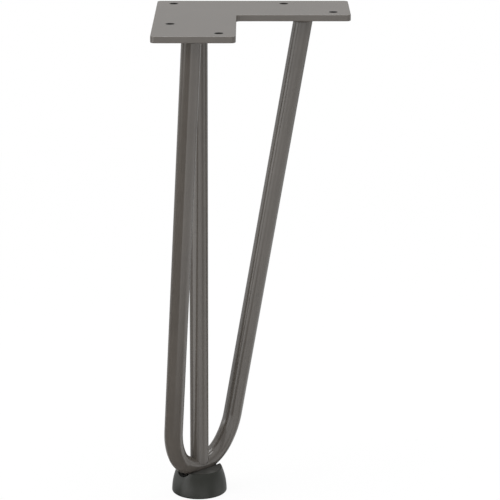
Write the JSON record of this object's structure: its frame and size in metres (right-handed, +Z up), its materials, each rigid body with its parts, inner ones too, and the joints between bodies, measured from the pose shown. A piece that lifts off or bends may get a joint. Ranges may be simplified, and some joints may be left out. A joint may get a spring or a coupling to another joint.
{
  "type": "hairpin table leg",
  "caption": "Hairpin table leg: an L-shaped screw plate, a bent round bar that leans in to the corner, a straight centre bar and a plastic foot.",
  "frame": {"origin": "top face of the mounting plate, over the middle of the centre rod, 26 mm in from the plate's two outer edges", "axes": "+Z up into the table top, square to the plate; the plate's outer corner points to -X and +Y; its arms run to +X and to -Y"},
  "size_m": [0.12, 0.12, 0.3207],
  "materials": {
    "plate_metal": "satin",
    "bar_metal": "satin",
    "weld_metal": "satin",
    "foot_plastic": "matte"
  },
  "bodies": {
    "root": {"mounting_plate": "plate_metal", "hairpin_rod": "bar_metal", "centre_rod": "bar_metal", "weld_right_leg": "weld_metal", "weld_front_leg": "weld_metal", "weld_centre_rod": "weld_metal", "weld_bend": "weld_metal", "foot": "foot_plastic"}
  },
  "joints": []
}
